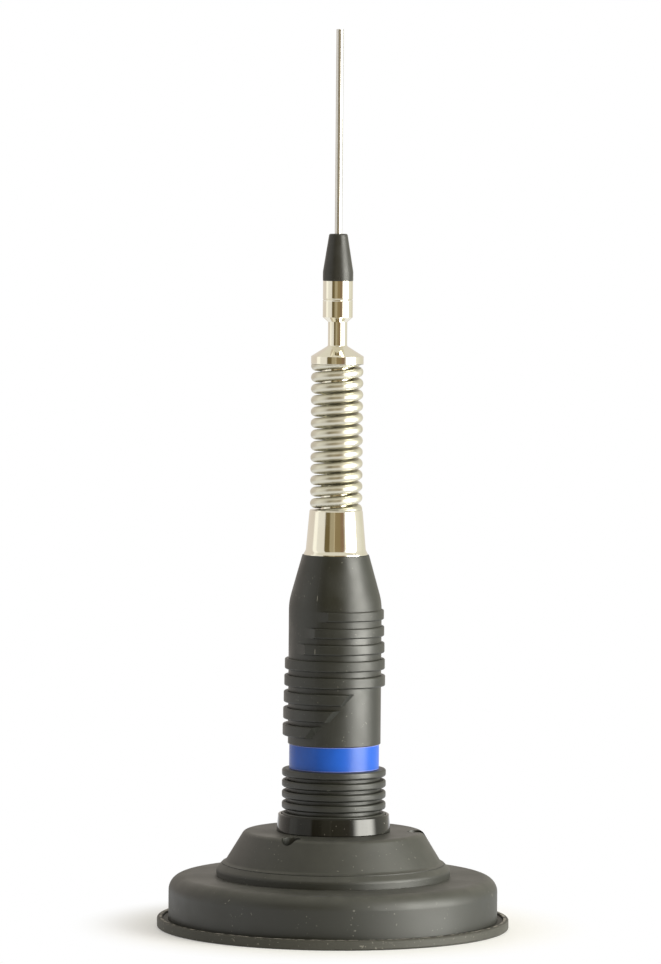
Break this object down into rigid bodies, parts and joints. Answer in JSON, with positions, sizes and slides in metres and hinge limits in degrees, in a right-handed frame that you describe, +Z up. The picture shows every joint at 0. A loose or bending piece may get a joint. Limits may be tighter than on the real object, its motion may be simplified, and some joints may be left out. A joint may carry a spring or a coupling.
{
  "type": "magnetic mount antenna",
  "caption": "Short vehicle whip antenna on a flexible spring, with a ribbed coil housing that screws onto a round magnet base with a rubber pad.",
  "frame": {"origin": "centre of the rubber pad's underside, on the mast's axis", "axes": "+Z up the mast; -Y towards the front that the picture shows; the cable leaves the base along +Y"},
  "size_m": [0.145, 0.145, 0.3692],
  "materials": {
    "pad_rubber": "dark brown-grey rubber, slightly dusty",
    "base_plastic": "fine-grained matte black",
    "gloss_black": "glossy black",
    "coil_plastic": "matte black with moulding marks",
    "band_blue": "satin blue",
    "cup_steel": "zinc-plated pressed steel",
    "ferrite": "sintered dark grey ferrite",
    "brass": "turned brass",
    "insulator_white": "white insulating plastic",
    "seal_rubber": "soft black rubber",
    "former_plastic": "pale insulating plastic",
    "copper_wire": "enamelled copper wire",
    "nickel": "bright nickel over turned brass",
    "spring_steel": "nickelled spring wire",
    "whip_steel": "polished stainless steel",
    "screw_steel": "zinc-plated steel",
    "cap_rubber": "matte black rubber"
  },
  "bodies": {
    "base": {"rubber_pad": "pad_rubber", "drum_cover": "base_plastic", "magnet_cup": "cup_steel", "ring_magnet": "ferrite", "pole_core": "cup_steel", "pole_bolt": "screw_steel", "cone_housing": "base_plastic", "housing_screws": "screw_steel", "cable_gland": "seal_rubber", "connector_body": "brass", "socket_insulator": "insulator_white", "centre_socket": "brass", "base_collar": "gloss_black"},
    "foot_seal": {"foot_gasket": "seal_rubber"},
    "mast": {"coil_housing": "coil_plastic", "label_band": "band_blue", "foot_insert": "brass", "foot_insulator": "insulator_white", "contact_pin": "brass", "coil_former": "former_plastic", "coil_winding": "copper_wire", "ferrule": "nickel"},
    "flex_spring": {"spring": "spring_steel"},
    "whip_head": {"spring_plug": "nickel", "whip_holder": "nickel", "set_screws": "screw_steel"},
    "whip": {"whip_rod": "whip_steel"},
    "cap": {"rain_cap": "cap_rubber"}
  },
  "joints": [
    {"name": "mast_rise", "type": "slide", "parent": "base", "child": "foot_seal", "axis": [0, 0, 1], "range_m": [0, 0.009]},
    {"name": "mast_turn", "type": "hinge", "parent": "foot_seal", "child": "mast", "pos_m": [0, 0, 0.05], "axis": [0, 0, 1], "range_deg": [0, 2160]},
    {"name": "spring_side_bend", "type": "hinge", "parent": "mast", "child": "flex_spring", "pos_m": [0, 0, 0.1874], "axis": [0, 1, 0], "range_deg": [-30, 30], "stiffness_Nm_per_rad": 5.8, "deforming": ["spring"]},
    {"name": "spring_fore_bend", "type": "hinge", "parent": "flex_spring", "child": "whip_head", "pos_m": [0, 0, 0.2173], "axis": [1, 0, 0], "range_deg": [-30, 30], "stiffness_Nm_per_rad": 5.8, "deforming": ["spring"]},
    {"name": "whip_length", "type": "slide", "parent": "whip_head", "child": "whip", "axis": [0, 0, 1], "range_m": [-0.01, 0.01]},
    {"name": "cap_lift", "type": "slide", "parent": "whip_head", "child": "cap", "axis": [0, 0, 1], "range_m": [0, 0.03]}
  ],
  "couplings": [
    {"joint": "mast_turn", "follows": "mast_rise", "rad_per_m": 4188.8}
  ]
}
